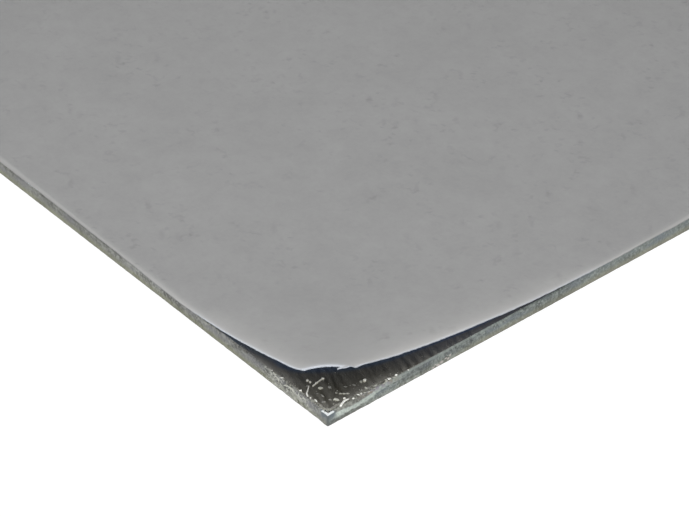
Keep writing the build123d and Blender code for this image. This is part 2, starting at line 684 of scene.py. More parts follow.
@dataclass(frozen=True)
class SawnEdgeFinish:
    """Sawn acrylic edge: frosted patches, slanted saw marks, melted worms and the paint's line.

    Near is the stretch towards the lifted corner, reached between the two distances of near_span.
    Boldness is the grit's extra contrast there, level the lightness of the whole, worms_far and
    worms_near the strength of the worms, and bevel that of the worn bevel.
    """

    name: str
    corner: tuple[float, float]
    body: Colour
    near_body: Colour
    shade: Colour
    patch: Colour
    crumb: Colour
    foot: Colour
    tone_stretches: tuple[ToneStretch, ...]
    worms_far: float
    worms_near: float
    boldness: float
    level: float
    near_span: tuple[float, float]
    bevel: float
    rubbed_dark: Colour = (0.165, 0.165, 0.145)
    rubbed_pale: Colour = (0.325, 0.325, 0.285)
    arris_highlight: Colour = (0.385, 0.425, 0.395)
    rusty: Colour = (0.330, 0.268, 0.205)
    lilac: Colour = (0.385, 0.365, 0.415)
    paint: Colour = (0.12, 0.11, 0.08)
    clear: Colour = (0.112, 0.148, 0.176)
    corner_dark: Colour = (0.118, 0.135, 0.136)
    tip_highlight: Colour = (0.95, 0.99, 1.0)
    ridge_height: float = 1.50 * MM

    def pattern(self, tree: FinishTree, place: Wire) -> EdgePattern:
        """Works out what the layers share.

        Args:
            tree: the finish's nodes.
            place: place on the edge, in metres.

        Returns:
            Distance from the lifted corner, height, three shares that go by that distance, and
            four noises: fine saw marks, slanted blotches, a tint in patches and a broad drift.
        """
        x, y, z = tree.axes(place)
        from_corner = ((self.corner[0] - x) + (y - self.corner[1])).at_least(0.0)
        near = from_corner.rise(*self.near_span)
        slanted = tree.vector(x + z * 0.35, y + z * 0.35, z * 0.6)
        return EdgePattern(
            from_corner=from_corner,
            z=z,
            near=near,
            calm=from_corner.rise(58.0 * MM, 76.0 * MM) * 0.50,
            lighter=near * from_corner.rise(3.0 * MM, 8.0 * MM),
            marks=tree.noise(place, 0.60 * MM, 2.0, 0.6),
            blotch=tree.noise(slanted, 1.30 * MM, 2.5, 0.6),
            tint=tree.noise(tree.vector(x * 0.6, y * 0.6, z * 1.6), 3.6 * MM, 2.0, 0.55),
            drift=tree.noise(tree.vector(x, y, z * 1.5), 7.0 * MM, 2.0, 0.55),
        )

    def sawn(self, tree: FinishTree, edge: EdgePattern) -> Wire:
        """Sawn acrylic: pale grit over shade, patches of another tint, and an olive foot.

        Args:
            tree: the finish's nodes.
            edge: what the layers share.

        Returns:
            The colour.
        """
        contrast = 1.0 - edge.calm + edge.near * self.boldness
        grit = (edge.marks * 0.50 + edge.blotch * 0.50 - 0.5) * contrast + 0.5
        body = tree.mix(edge.near, self.body, self.near_body)
        body = tree.mix(grit.rise(0.36, 0.63), self.shade, body)
        body = tree.mix(edge.tint.rise(0.47, 0.60) * 0.75, body, self.patch)
        low = edge.z.rise(2.0 * MM, 0.3 * MM) * (0.75 - edge.near * 0.40)
        body = tree.mix(low, body, self.foot)
        level = self.level + (edge.tint - 0.5) * 0.8 + (edge.drift - 0.5) * 0.7
        body = tree.scaled(body, level + edge.lighter * 0.22)
        shadow = edge.z.rise(1.3 * MM, 0.6 * MM) * edge.from_corner.rise(14.0 * MM, 9.0 * MM) * 0.36
        return tree.scaled(body, 1.0 - shadow * self.bevel)

    def bevelled(self, tree: FinishTree, edge: EdgePattern, colour: Wire) -> Wire:
        """Lays the worn bevel over a colour: a rubbed face above a pale, climbing ridge of painted
        highlight, and stains.

        Args:
            tree: the finish's nodes.
            edge: what the layers share.
            colour: the colour below.

        Returns:
            The colour with the bevel on it.
        """
        from_corner = edge.from_corner
        waver = (edge.blotch - 0.5) * (0.5 * MM)
        climb = from_corner.rise(6.0 * MM, 0.0) * (0.36 * MM)
        climb = climb + from_corner.rise(8.2 * MM, 15.2 * MM) * (0.95 * MM)
        girth = 1.0 * MM + from_corner.rise(8.0 * MM, 3.5 * MM) * (0.35 * MM)
        above = (edge.z - climb - self.ridge_height + waver) / girth
        along = from_corner.rise(1.2 * MM, 2.4 * MM) * from_corner.rise(25.0 * MM, 13.0 * MM)
        along = along * self.bevel
        rubbed = tree.mix(edge.marks.rise(0.38, 0.62), self.rubbed_dark, self.rubbed_pale)
        colour = tree.mix(above.rise(0.25, 0.60) * along * 0.9, colour, rubbed)
        # painted highlight: a pale line in the crumb colour along the bevel's ridge
        ridge = abs(above).rise(0.58, 0.26) * along
        colour = tree.mix(ridge * (0.70 + edge.marks.rise(0.4, 0.6) * 0.30), colour, self.crumb)
        stained = abs(from_corner - 13.5 * MM).rise(6.0 * MM, 3.0 * MM)
        stained = stained * edge.z.rise(1.9 * MM, 2.5 * MM) * edge.blotch.rise(0.36, 0.56)
        stain = tree.mix(edge.tint.rise(0.44, 0.54), self.rusty, self.lilac)
        return tree.mix(stained * (self.bevel * 0.80), colour, stain)

    def worn(self, edge: EdgePattern) -> Number:
        """Share of light kept: product over the darker and lighter stretches, each a smooth bump that
        starts at its height.

        Args:
            edge: what the layers share.

        Returns:
            The share, 1 where nothing is rubbed.
        """
        kept = 1.0
        for stretch_row in self.tone_stretches:
            beside = abs(edge.from_corner - stretch_row.middle * MM)
            bump = beside.rise(stretch_row.reach * MM, stretch_row.reach * 0.45 * MM)
            part = bump * edge.z.rise(stretch_row.low * MM, (stretch_row.low + 0.8) * MM)
            kept = (1.0 - part * (1.0 - stretch_row.keep)) * kept
        return kept

    def rimmed(self, tree: FinishTree, edge: EdgePattern, colour: Wire) -> Wire:
        """Lays shade under the film, the paint's line at the foot, darker and lighter stretches and a
        painted highlight on the arris.

        Args:
            tree: the finish's nodes.
            edge: what the layers share.
            colour: the colour below.

        Returns:
            The colour with them on it.
        """
        from_corner, z = edge.from_corner, edge.z
        under_film = z.rise(2.35 * MM, 2.72 * MM) * from_corner.rise(34.0 * MM, 60.0 * MM)
        colour = tree.mix(under_film * 0.20, colour, self.shade)
        paint_line = z.rise(0.30 * MM, 0.08 * MM) * (0.20 + edge.marks * 0.9)
        colour = tree.mix(paint_line.at_most(1.0), colour, self.paint)
        colour = tree.scaled(colour, self.worn(edge))
        # painted highlight: a pale line along the top arris
        arris = z.rise(2.50 * MM, 2.74 * MM) * from_corner.rise(15.0 * MM, 18.0 * MM)
        arris = arris * from_corner.rise(62.0 * MM, 26.0 * MM)
        return tree.mix(arris * self.bevel * 0.55, colour, self.arris_highlight)

    def tipped(self, tree: FinishTree, edge: EdgePattern, colour: Wire) -> Wire:
        """Lays clear acrylic, the corner's dark line and a painted highlight at its tip over a colour.

        Args:
            tree: the finish's nodes.
            edge: what the layers share.
            colour: the colour below.

        Returns:
            The colour with them on it.
        """
        from_corner, z = edge.from_corner, edge.z
        clear = from_corner.rise(2.8 * MM, 1.5 * MM) * z.rise(0.6 * MM, 2.3 * MM)
        colour = tree.mix(clear * 0.85, colour, self.clear)
        colour = tree.mix(from_corner.rise(0.75 * MM, 0.15 * MM) * 0.70, colour, self.corner_dark)
        # painted highlight: white at the top of the corner
        tip = from_corner.rise(2.05 * MM, 1.8 * MM) * z.rise(2.58 * MM, 2.68 * MM)
        return tree.mix(tip, colour, self.tip_highlight)

    def make(self) -> bpy.types.Material:
        """Builds the material of one pair of edges.

        Returns:
            The material.
        """
        tree = FinishTree(self.name)
        place = tree.place()
        edge = self.pattern(tree, place)
        worm = abs(tree.noise(place, 1.40 * MM, 1.5, 0.5) - 0.5).rise(0.050, 0.018)
        bead = tree.noise(place, 0.60 * MM, 1.0, 0.5).rise(0.60, 0.68)
        strength = self.worms_far * (1.0 - edge.calm) + edge.lighter * self.worms_near
        melted = (worm * 0.75 + bead).at_most(1.0) * strength
        colour = tree.mix(melted.at_most(1.0), self.sawn(tree, edge), self.crumb)
        colour = self.bevelled(tree, edge, colour)
        colour = self.rimmed(tree, edge, colour)
        return tree.surface(
            Base_Color=self.tipped(tree, edge, colour),
            Roughness=0.38 + edge.marks * 0.25,
            Coat_Weight=0.12,
            Coat_Roughness=0.3,
            Normal=tree.relief(edge.marks + bead * 0.8 + worm * 0.5, 0.05 * MM, 0.5),
        )


@dataclass(frozen=True)
class BackPaintFinish:
    """Grey protective paint over the silvering, with faint roller texture and handling scuffs."""

    paint: Colour = (0.240, 0.245, 0.250)
    scuff: Colour = (0.34, 0.345, 0.35)

    def make(self) -> bpy.types.Material:
        """Builds the material of the sheet's underside.

        Returns:
            The material.
        """
        tree = FinishTree("back_paint")
        place = tree.place()
        x, y, _ = tree.axes(place)
        cloud = tree.noise(place, 22.0 * MM, 4.0, 0.6)
        peel = tree.noise(place, 0.9 * MM, 3.0, 0.55)
        streak = tree.noise(tree.vector(x * 0.05, y + x * 0.02, 0.0), 1.4 * MM, 2.0, 0.5)
        patch = tree.noise(place, 35.0 * MM, 2.0, 0.5).rise(0.5, 0.68)
        body = tree.scaled(self.paint, 0.92 + cloud * 0.16 + peel * 0.06)
        colour = tree.mix(streak.rise(0.62, 0.74) * patch * 0.35, body, self.scuff)
        return tree.surface(
            Base_Color=colour,
            Roughness=0.46 + cloud * 0.12,
            Normal=tree.relief(peel, 0.03 * MM, 0.45),
        )


@dataclass(frozen=True)
class SwarfFinish:
    """White, glossy acrylic chips and shavings, some with silver on them and all with a faint painted glow;
    smeared ones are duller.
    """

    name: str = "acrylic_swarf"
    white: Colour = (1.0, 1.0, 0.96)
    shaded: Colour = (0.84, 0.84, 0.77)
    silvered: float = 0.40
    painted_glow: float = 0.13

    def make(self) -> bpy.types.Material:
        """Builds the material of the swarf.

        Returns:
            The material.
        """
        tree = FinishTree(self.name)
        place = tree.place()
        speckle = tree.noise(place, 0.25 * MM, 2.0, 0.6)
        return tree.surface(
            Base_Color=tree.mix(speckle.rise(0.35, 0.65), self.shaded, self.white),
            Metallic=self.silvered * speckle.rise(0.30, 0.60),
            Roughness=0.22 + speckle * 0.2,
            # painted glow: the chips give off a little light of their own
            Emission_Color=tree.scaled(self.white, self.painted_glow * (0.4 + speckle)),
            Emission_Strength=1.0,
            Normal=tree.relief(speckle, 0.03 * MM, 0.5),
        )


@dataclass(frozen=True)
class DustFinish:
    """Clots, crumbs and flecks of saw dust, soft and dull."""

    name: str = "saw_dust"
    grey: Colour = (0.31, 0.31, 0.29)

    def make(self) -> bpy.types.Material:
        """Builds the material of the dust.

        Returns:
            The material.
        """
        tree = FinishTree(self.name)
        speckle = tree.noise(tree.place(), 0.3 * MM, 2.0, 0.6)
        return tree.surface(
            Base_Color=tree.scaled(self.grey, 0.6 + speckle * 0.8),
            Roughness=0.8,
            Normal=tree.relief(speckle, 0.04 * MM, 0.6),
        )


# Meshes from arrays


def grid_quads(rows: int, columns: int, wrap: bool = False) -> np.ndarray:
    """Corner numbers of the quads between neighbouring points of a grid numbered row by row.

    Args:
        rows: points down the grid.
        columns: points across it.
        wrap: True joins the last column to the first.

    Returns:
        One row of four point numbers for each quad.
    """
    across = np.arange(columns if wrap else columns - 1)
    down = np.arange(rows - 1)
    row, column = np.meshgrid(down, across, indexing="ij")
    after = (column + 1) % columns
    quads = np.stack(
        [row * columns + column, row * columns + after,
         (row + 1) * columns + after, (row + 1) * columns + column],
        axis=-1,
    )
    return quads.reshape(-1, 4)


def make_piece(
    name: str,
    points: np.ndarray,
    faces: Sequence[Sequence[int]],
    materials: Sequence[bpy.types.Material],
    which: Optional[np.ndarray] = None,
    smooth: Optional[np.ndarray] = None,
    fields: Optional[dict[str, np.ndarray]] = None,
) -> bpy.types.Object:
    """Puts arrays of points and faces into a mesh object at the origin.

    Args:
        name: the piece's name.
        points: one row of x, y, z in metres for each vertex.
        faces: the vertex numbers of each face, anticlockwise seen from outside.
        materials: the piece's materials.
        which: number of each face's material.
        smooth: True for each face that is shaded smooth; all of them if left out.
        fields: numbers for each vertex, each kept as an attribute of its name.

    Returns:
        The new object, linked to the scene.
    """
    mesh = bpy.data.meshes.new(name)
    mesh.from_pydata(points.tolist(), [], [list(map(int, face)) for face in faces])
    for material in materials:
        mesh.materials.append(material)
    if which is not None:
        mesh.polygons.foreach_set("material_index", np.asarray(which, np.int32))
    shading = np.ones(len(mesh.polygons), bool) if smooth is None else smooth
    mesh.polygons.foreach_set("use_smooth", shading)
    for field, values in (fields or {}).items():
        attribute = mesh.attributes.new(field, "FLOAT", "POINT")
        attribute.data.foreach_set("value", np.asarray(values, np.float32))
    mesh.validate()
    mesh.update()
    piece = bpy.data.objects.new(name, mesh)
    bpy.context.scene.collection.objects.link(piece)
    return piece


def settle(piece: bpy.types.Object, slot: str, *nodes: str) -> None:
    """Lets a piece ride on the body and hides the nodes that it replaces.

    Args:
        piece: the piece.
        slot: its slot in the record; not used.
        *nodes: the nodes that it replaces, if any.
    """
    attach(piece, BODY)
    if nodes:
        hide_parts(*nodes)
    LOG.info("%s: %d faces", piece.name, len(piece.data.polygons))


def stops(spans: Sequence[tuple[float, float, float]]) -> np.ndarray:
    """Places along a line, span after span, each stepped evenly from its start to its end.

    Args:
        spans: start, end and step of each span, which starts where the one before ends.

    Returns:
        The places, with both ends of the line.
    """
    parts = []
    for start, end, step in spans:
        count = max(1, round(abs(end - start) / step))
        parts.append(np.linspace(start, end, count, endpoint=False))
    parts.append(np.array([spans[-1][1]]))
    return np.concatenate(parts)


# Sheet


class Side(Enum):
    """The four sides in the order in which the rim is walked, as the signs of their first corner."""

    FRONT = (-1, -1)
    RIGHT = (1, -1)
    BACK = (1, 1)
    LEFT = (-1, 1)

    @property
    def number(self) -> int:
        """Its place in that order."""
        return list(Side).index(self)


class Coat(IntEnum):
    """What a face of the sheet is finished as, numbered as the sheet's materials are."""

    MIRROR = 0
    LONG_EDGE = 1
    SHORT_EDGE = 2
    PAINT = 3


@dataclass
class MirrorSheet:
    """The acrylic sheet: a profile of arrises and sawn edge carried round its rectangle."""

    low: Vector
    high: Vector
    arris: float = 0.25 * MM
    foot_arris: float = 0.04 * MM
    face_insets: tuple[float, ...] = (3.0 * MM, 1.5 * MM, 1.0 * MM, 0.7 * MM, 0.5 * MM, 0.3 * MM)
    back_insets: tuple[float, ...] = (0.8 * MM, 3.0 * MM)
    wall_rows: int = 12
    fine_reach: float = 100.0 * MM
    fine_step: float = 0.25 * MM
    coarse_step: float = 0.6 * MM
    near_reach: float = 40.0 * MM
    saw_depth: float = 0.03 * MM
    saw_cell: float = 0.55 * MM
    saw_lean: float = 0.35
    lump_height: float = 0.07 * MM
    lump_cell: float = 1.1 * MM
    chip_depth: float = 0.30 * MM
    chip_cell: float = 0.8 * MM
    worn_cell: float = 2.3 * MM
    bevel_depth: float = 0.28 * MM
    bevel_height: float = 1.3 * MM
    bevel_reach: tuple[float, float] = (20.0 * MM, 9.0 * MM)
    corner_fade: float = 1.2 * MM
    grain_seed: int = 11

    def profile(self) -> np.ndarray:
        """Rows of the sheet's rim, from inside the top edge round to inside the bottom one.

        Returns:
            Inset and height of each row.
        """
        top, bottom = self.high.z, self.low.z
        rounded = 0.45 * self.arris
        rows = [(inset, top) for inset in self.face_insets]
        rows += [(self.arris, top), (rounded, top - rounded)]
        wall = np.linspace(top - self.arris, bottom + self.foot_arris, self.wall_rows)
        rows += [(0.0, height) for height in wall]
        rows += [(inset, bottom) for inset in (self.foot_arris, *self.back_insets)]
        return np.array(rows)

    def walk(self) -> tuple[np.ndarray, np.ndarray, np.ndarray]:
        """Steps along the rim, finer near the lifted corner.

        Returns:
            For each column its side's number, the share of that side behind it, and the distance
            walked since the front left corner.
        """
        length, width = self.high.x - self.low.x, self.high.y - self.low.y
        reach, fine, coarse = self.fine_reach, self.fine_step, self.coarse_step
        spans = {
            Side.FRONT: [(0.0, length - reach, coarse), (length - reach, length, fine)],
            Side.RIGHT: [(0.0, reach, fine), (reach, width, coarse)],
            Side.BACK: [(0.0, length, coarse)],
            Side.LEFT: [(0.0, width, coarse)],
        }
        numbers, shares, runs = [], [], []
        walked = 0.0
        for number, side in enumerate(Side):
            along = stops(spans[side])
            numbers.append(np.full(len(along) - 1, number))
            shares.append(along[:-1] / along[-1])
            runs.append(walked + along[:-1])
            walked += along[-1]
        return np.concatenate(numbers), np.concatenate(shares), np.concatenate(runs)

    def relief(self, rows: np.ndarray, run: np.ndarray, to_lifted: np.ndarray) -> np.ndarray:
        """How far the sawn edge lies inside its plane, for each row and column.

        Saw marks lean along the edge, melted lumps stand a little proud near the lifted corner, and
        the arris is nibbled away by noise that only counts above a threshold.

        Args:
            rows: inset and height of each row.
            run: distance of each column along the rim.
            to_lifted: distance of each column from the lifted corner along its side.

        Returns:
            Inward distances in metres.
        """
        grain = Grain(self.grain_seed)
        inset, height = rows[:, :1], rows[:, 1:]
        near = ease(1 - to_lifted / self.near_reach)
        worn = ease((grain.layered(run, 0.0, self.worn_cell) - 0.1) / 0.9)
        nibble = ease((grain.layered(run, 7.0, self.chip_cell) - 0.2) / 0.8)
        chip = self.chip_depth * nibble * (0.2 + 0.8 * worn * (0.3 + 0.7 * near))
        top_part = ease((height - (self.high.z - 2.4 * self.arris)) / (1.8 * self.arris))
        beside = ease(1 - (inset - self.arris) / (0.4 * MM))
        wall = ease((self.arris * 1.01 - inset) / self.arris)
        saw = grain.layered(run[None, :] + height * self.saw_lean, height * 0.25, self.saw_cell)
        lump = grain.layered(run[None, :], height + 3.0 * MM, self.lump_cell, 2)
        lumps = self.lump_height * (0.25 + 0.75 * near) * lump
        return top_part * beside * chip + wall * (self.saw_depth * (0.5 + 0.5 * saw) + lumps)

    def bevel(self, rows: np.ndarray, number: np.ndarray, to_lifted: np.ndarray) -> np.ndarray:
        """The worn bevel of the right side, which deepens evenly up to the top near the corner.

        Args:
            rows: inset and height of each row.
            number: number of each column's side.
            to_lifted: distance of each column from the lifted corner along its side.

        Returns:
            Inward distances in metres, for each row and column.
        """
        height = rows[:, 1:]
        climb = np.clip((height - (self.high.z - self.bevel_height)) / self.bevel_height, 0.0, 1.0)
        far, close = self.bevel_reach
        along = ease((far - to_lifted) / (far - close)) * ease((to_lifted - 0.8 * MM) / (2.0 * MM))
        beside = ease(1 - (rows[:, :1] - self.arris) / (0.6 * MM))
        return self.bevel_depth * climb * along * beside * (number == Side.RIGHT.number)

    def build(self, finishes: Sequence[bpy.types.Material]) -> bpy.types.Object:
        """Makes the sheet's mesh.

        A point lies on its side of a rectangle inset by the row's inset: first corner plus its share
        of the way to the next. Relief and bevel then move it in along the side's normal, fading to
        nothing at the corners.

        Args:
            finishes: a material for each coat, in the order of their numbers.

        Returns:
            The sheet's object.
        """
        rows = self.profile()
        number, share, run = self.walk()
        signs = np.array([side.value for side in Side], float)
        half = np.array([self.high.x - self.low.x, self.high.y - self.low.y]) / 2
        middle = np.array([self.high.x + self.low.x, self.high.y + self.low.y]) / 2
        start, end = signs[number], signs[(number + 1) % 4]
        outward = (start + end) / 2
        side_length = 2 * np.where(number % 2 == 0, half[0], half[1])
        to_corner = np.minimum(share, 1 - share) * side_length
        to_lifted = np.where(number == Side.FRONT.number, 1 - share, share) * side_length
        to_lifted = np.where(number > Side.RIGHT.number, 1.0, to_lifted)

        fade = ease(to_corner / self.corner_fade)
        inward = self.relief(rows, run, to_lifted) * fade + self.bevel(rows, number, to_lifted)
        eaten = np.maximum(inward, 0.0) * ease((rows[:, 1:] - self.high.z + 0.1 * MM) / (0.1 * MM))
        height = rows[:, 1:] - eaten * 0.4
        inset = rows[:, :1, None]
        corner_a = start * (half - inset) + middle
        corner_b = end * (half - inset) + middle
        flat = corner_a + (corner_b - corner_a) * share[None, :, None]
        flat = flat - outward * inward[:, :, None]
        points = np.concatenate([flat, height[:, :, None]], axis=2).reshape(-1, 3)

        columns, count = len(run), len(rows)
        quads = grid_quads(count, columns, wrap=True)[:, ::-1]
        top_ring = np.arange(columns)
        bottom_ring = np.arange(columns)[::-1] + (count - 1) * columns
        faces = [*quads.tolist(), top_ring.tolist(), bottom_ring.tolist()]
        band = np.repeat(np.arange(count - 1), columns)
        coat = Coat.LONG_EDGE + np.tile(number, count - 1) % 2
        coat = np.where(band < len(self.face_insets), Coat.MIRROR, coat)
        coat = np.where(band == count - 2, Coat.PAINT, coat)
        coat = np.concatenate([coat, [Coat.MIRROR, Coat.PAINT]])
        smooth = np.arange(len(faces)) < len(quads)
        return make_piece("mirror_sheet_dressed", points, faces, finishes, coat, smooth)


# Film


@dataclass
class MaskingFilm:
    """The masking film: stuck flat on the sheet, curled up off one corner and torn at its tip."""

    low: Vector
    high: Vector
    sheet_top: float
    thickness: float = 0.2 * MM
    peel_front: float = 45.0 * MM
    peel_side: float = 78.0 * MM
    lift_radius: float = 90.0 * MM
    tip_radius: float = 28.0 * MM
    tip_curl_length: float = 10.0 * MM
    tear_front: float = 6.9 * MM
    tear_side: float = 5.2 * MM
    tear_radius: float = 4.6 * MM
    tear_points: int = 24
    barb_width: float = 1.25 * MM
    barb_length: float = 2.18 * MM
    barb_root: float = 1.35 * MM
    barb_lean: float = 0.36 * MM
    barb_shoulder: float = 0.55 * MM
    seat: float = 0.004 * MM
    cut_seed: int = 23
    ripple_seed: int = 29
    columns: int = 80
    loose_rows: int = 180
    flat_rows: int = 300
    tear_crowding: float = 1.4
    far_crowding: float = 0.6

    def __post_init__(self) -> None:
        """Works out the peel line, the way across it and the curl's turn."""
        self.corner = np.array([self.high.x, self.low.y])
        self.peel_start = self.corner - [self.peel_front, 0.0]
        self.peel_end = self.corner + [0.0, self.peel_side]
        line = math.hypot(self.peel_front, self.peel_side)
        self.across = np.array([self.peel_side, -self.peel_front]) / line
        self.lift_length = self.peel_front * self.peel_side / line - self.tip_curl_length

    def curl(self, unrolled: np.ndarray) -> tuple[np.ndarray, np.ndarray, np.ndarray]:
        """Level run, rise and turn of the film at a distance from the peel line along the film.

        Two arcs in a row: the first has the lift radius and the second the tip radius. Run is
        radius times the sine of the turn, and rise is radius times one less its cosine.

        Args:
            unrolled: distance from the peel line, measured along the film; below 0 it is stuck.

        Returns:
            Run, rise and turn, as three arrays.
        """
        first = np.clip(unrolled, 0.0, self.lift_length) / self.lift_radius
        second = first + np.maximum(unrolled - self.lift_length, 0.0) / self.tip_radius
        run = self.lift_radius * np.sin(first) + self.tip_radius * (np.sin(second) - np.sin(first))
        rise = self.lift_radius * (1 - np.cos(first))
        rise = rise + self.tip_radius * (np.cos(first) - np.cos(second))
        return np.where(unrolled > 0, run, unrolled), rise, second

    def tear(self, share: np.ndarray) -> np.ndarray:
        """Points of the torn edge on the film as if flat, from the front edge to the side edge.

        The path is a short straight, a quarter circle, a straight and a barb, walked by its length.

        Args:
            share: shares of the way along it.

        Returns:
            Plan points, one row for each share.
        """
        turn = np.linspace(0.0, math.pi / 2, self.tear_points)
        away = np.array([self.tear_front - self.tear_radius, self.tear_side - self.tear_radius])
        arc = away + self.tear_radius * np.stack([np.cos(turn), np.sin(turn)], axis=1)
        path = np.vstack([
            [self.tear_front, 0.0],
            arc,
            [self.barb_width, self.tear_side - self.barb_shoulder],
            [self.barb_lean, self.tear_side - self.barb_length],
            [0.0, self.tear_side - self.barb_root],
        ])
        walked = np.concatenate([[0.0], np.cumsum(np.linalg.norm(np.diff(path, axis=0), axis=1))])
        walked /= walked[-1]
        back = np.interp(share, walked, path[:, 0])
        along = np.interp(share, walked, path[:, 1])
        return self.corner + np.stack([-back, along], axis=1)

    def far_edge(self, share: np.ndarray) -> np.ndarray:
        """Points of the two far edges, from the front left corner round to the back right one.

        Args:
            share: shares of the way, of which the left edge takes up two fifths.

        Returns:
            Plan points, one row for each share.
        """
        left_part = 0.4
        leg = np.clip(share / left_part, 0.0, 1.0)
        rest = np.clip((share - left_part) / (1.0 - left_part), 0.0, 1.0)
        x = self.low.x + (self.high.x - self.low.x) * rest
        y = self.low.y + (self.high.y - self.low.y) * leg
        return np.stack([x, y], axis=1)

    def flat_points(self) -> np.ndarray:
        """The film cut flat: lines ruled from the peel line to the tear, and to the far edges.

        Rows lie closer together towards the tear and towards the far edges, by a power and by a
        parabola, and columns towards the two edges that meet at the lifted corner, by a cosine.

        Returns:
            Plan points as rows by columns by 2, from the far edges to the tear.
        """
        step = np.arange(self.columns + 1) / self.columns
        spread = (1 - np.cos(math.pi * step)) / 2
        peel = self.peel_start + (self.peel_end - self.peel_start) * spread[:, None]
        torn = self.tear(0.5 * step + 0.5 * spread)
        far = self.far_edge(step)
        count = np.arange(self.loose_rows + 1) / self.loose_rows
        loose = (1 - (1 - count) ** self.tear_crowding)[:, None, None]
        back = np.arange(self.flat_rows, 0, -1) / self.flat_rows
        stuck = (back + self.far_crowding * (back - back**2))[:, None, None]
        return np.concatenate([peel + (far - peel) * stuck, peel + (torn - peel) * loose])

    def to_tear(self, flat: np.ndarray) -> np.ndarray:
        """Distance of each point from the tear's nearest point, or a metre on the farther rows.

        Args:
            flat: the film's plan points.

        Returns:
            The distances.
        """
        near_rows = self.loose_rows // 2
        gaps = np.linalg.norm(flat[-near_rows:, :, None, :] - flat[-1, ::2], axis=3)
        distances = np.full(flat.shape[:2], 1.0)
        distances[-near_rows:] = gaps.min(axis=2)
        return distances

    def trim(self, flat: np.ndarray, from_tear: np.ndarray) -> np.ndarray:
        """Moves the margins by the waver of the cut, the overhang and the jags of the tear.

        Each shift is a sum of noises along the edge and falls to nothing half a millimetre inside.

        Args:
            flat: the film's plan points.
            from_tear: distance of each point from the tear.

        Returns:
            The moved plan points.
        """
        grain = Grain(self.cut_seed)
        back, along = self.corner[0] - flat[..., 0], flat[..., 1] - self.corner[1]
        reach = 0.5 * MM
        overhang = 0.02 * MM + 0.24 * MM * bell(back, 50 * MM, 11 * MM)
        overhang -= 0.26 * MM * ease((back - 58 * MM) / (40 * MM))
        overhang += 0.06 * MM * grain.layered(back, 0.0, 5.0 * MM)
        overhang += 0.045 * MM * grain.layered(back, 3.0, 0.7 * MM)
        notched = 1 + 2.0 * bell(along, 19 * MM, 5 * MM)
        side_hang = 0.08 * MM - 0.16 * MM * ease((along - 55 * MM) / (35 * MM))
        side_hang += 0.06 * MM * grain.layered(along, 5.0, 6.0 * MM)
        side_hang += 0.055 * MM * notched * grain.layered(along, 9.0, 0.7 * MM)
        moved = flat.copy()
        moved[..., 1] -= overhang * ease(1 - along / reach)
        moved[..., 0] += side_hang * ease(1 - back / reach)
        columns = np.arange(flat.shape[1])
        walk = columns * 0.14 * MM
        jag = 0.15 * MM * grain.layered(walk, 13.0, 0.55 * MM, 2)
        jag *= np.sin(math.pi * columns / columns[-1]) ** 0.5
        return moved + self.across * (jag * ease(1 - from_tear / (0.6 * MM)))[..., None]

    def sag(self, back: np.ndarray, along: np.ndarray) -> np.ndarray:
        """How far the curled margins hang below the even curl: humps along both edges at the tear.

        A hump is a bell over its place on the edge that fades away from the edge. Its row holds its
        depth, the coordinate that runs along its edge, its middle and width there, the coordinate
        that runs away from the edge, and its fade that way, in millimetres.

        Args:
            back: distance from the corner along the front edge.
            along: distance from the corner along the side edge.

        Returns:
            Sum of the humps, in metres.
        """
        humps = (
            (0.30, back, 9.5, 4.5, along, 7.0),
            (-0.26, back, 24.0, 6.0, along, 14.0),
            (0.16, along, 2.85, 0.30, back, 1.6),
            (-0.10, along, 3.8, 0.5, back, 1.6),
            (-0.24, along, 6.0, 0.8, back, 1.6),
            (0.42, along, 7.4, 1.0, back, 1.6),
            (-0.10, along, 45.0, 14.0, back, 12.0),
        )
        total = np.zeros(back.shape)
        for depth, place, middle, width, inside, fade in humps:
            hump = depth * MM * bell(place, middle * MM, width * MM)
            total += hump * np.exp(-np.maximum(inside, 0.0) / (fade * MM))
        return total

    def whitening(
        self,
        back: np.ndarray,
        along: np.ndarray,
        edge: np.ndarray,
        from_tear: np.ndarray,
        unrolled: np.ndarray,
        turn: np.ndarray,
    ) -> dict[str, np.ndarray]:
        """How much the film is whitened by its cut and its tear, and lightened on its curl by painted
        light.

        Cut is the bright line and stretch is the paler margin. Both fall off from the edges as
        exponentials, with bells and steps along the edges, and stretch grows with the turn: that
        share is painted light on the curl.

        Args:
            back: distance of each point from the corner along the front edge.
            along: its distance from the corner along the side edge.
            edge: its distance from the nearest edge.
            from_tear: its distance from the tear.
            unrolled: its distance from the peel line.
            turn: angle by which the film is rolled there.

        Returns:
            The two fields by name, each from 0 to 1.
        """
        loose = self.loosened(unrolled)
        edge = np.maximum(edge, 0.0)
        torn = 2.6 * ease((unrolled - 22 * MM) / (8 * MM)) * np.exp(-from_tear / (0.62 * MM))
        torn *= 1 - 0.8 * ease(1 - back / (1.9 * MM))
        beside = ease((back - along) / (4 * MM))
        crisp = 0.70 - 0.12 * ease(along / (60 * MM))
        crisp += beside * (0.22 + 0.3 * ease(1 - back / (26 * MM)))
        crisp -= 0.30 * ease((back - 27 * MM) / (13 * MM))
        crisp *= 1 - 0.55 * ease(1 - along / (6.5 * MM)) * ease(1 - back / (3.0 * MM))
        cut = crisp * loose * np.exp(-edge / (0.28 * MM)) + torn
        stuck = 0.46 * (1 - loose) * (1 - 0.2 * ease(back / (90 * MM)))
        broad = 0.27 + 0.16 * bell(along, 20 * MM, 16 * MM) * (1 - beside)
        broad += 0.06 * beside * ease(1 - back / (20 * MM))
